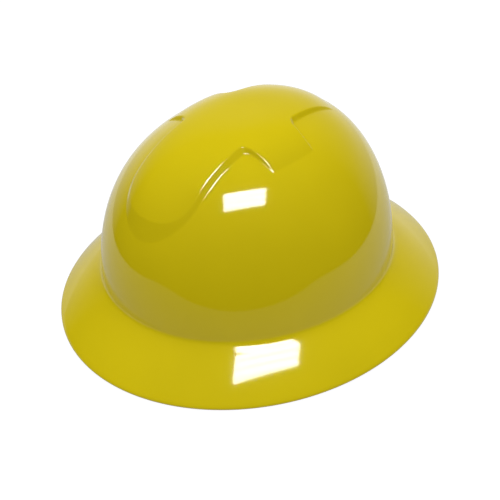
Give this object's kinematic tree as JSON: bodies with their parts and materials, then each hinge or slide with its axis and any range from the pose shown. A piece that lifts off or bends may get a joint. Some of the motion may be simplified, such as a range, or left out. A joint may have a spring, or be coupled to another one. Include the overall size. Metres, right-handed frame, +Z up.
{
  "type": "full brim hard hat",
  "caption": "Full brim hard hat: domed shell with raised cross ridges and a strap suspension with a ratchet headband.",
  "frame": {"origin": "middle of the brim's outline, on the plane that the brim stands on", "axes": "+Z up through the crown, -Y toward the wearer's front, +X toward the wearer's left"},
  "size_m": [0.278, 0.316, 0.153],
  "materials": {
    "shell_plastic": "glossy moulded polyethylene",
    "band_plastic": "fine grain",
    "key_plastic": "satin",
    "acetal": "satin",
    "webbing": "woven",
    "sweatband_cloth": "brushed cloth over foam",
    "screw_steel": "zinc plated"
  },
  "bodies": {
    "shell": {"shell": "shell_plastic"},
    "suspension": {"headband": "band_plastic", "sweatband": "sweatband_cloth", "crown_strap_lower": "webbing", "crown_strap_upper": "webbing", "key_front_left": "key_plastic", "key_front_right": "key_plastic", "key_rear_left": "key_plastic", "key_rear_right": "key_plastic"},
    "pivots": {"pivot_stud_left": "key_plastic", "pivot_stud_right": "key_plastic", "pivot_cap_left": "key_plastic", "pivot_cap_right": "key_plastic"},
    "nape": {"ratchet_base": "band_plastic", "ratchet_cover": "band_plastic", "nape_pad": "sweatband_cloth", "detent_spring": "acetal"},
    "knob": {"knob": "key_plastic", "pinion": "acetal", "knob_screw": "screw_steel"},
    "strap_left": {"rack_strap_left": "band_plastic"},
    "strap_right": {"rack_strap_right": "band_plastic"}
  },
  "joints": [
    {"name": "suspension_release", "type": "slide", "parent": "shell", "child": "suspension", "axis": [0, 0, -1], "range_m": [0, 0.03]},
    {"name": "nape_tilt", "type": "hinge", "parent": "suspension", "child": "pivots", "pos_m": [0, 0.01, 0.021], "axis": [1, 0, 0], "range_deg": [-25, 6]},
    {"name": "nape_slide", "type": "slide", "parent": "pivots", "child": "nape", "axis": [0, -1, 0], "range_m": [-0.00785, 0.01178]},
    {"name": "knob_turn", "type": "hinge", "parent": "nape", "child": "knob", "pos_m": [0, 0.096, 0.021], "axis": [0, -1, 0], "range_deg": [-100, 150]},
    {"name": "strap_left_turn", "type": "hinge", "parent": "nape", "child": "strap_left", "pos_m": [0, 0.01, 0.021], "axis": [0, 0, 1], "range_deg": [-5.98, 8.97]},
    {"name": "strap_right_turn", "type": "hinge", "parent": "nape", "child": "strap_right", "pos_m": [0, 0.01, 0.021], "axis": [0, 0, 1], "range_deg": [-8.75, 5.84]}
  ],
  "couplings": [
    {"joint": "knob_turn", "follows": "nape_slide", "rad_per_m": 222.22},
    {"joint": "strap_left_turn", "follows": "nape_slide", "rad_per_m": 13.263},
    {"joint": "strap_right_turn", "follows": "nape_slide", "rad_per_m": -12.937}
  ]
}
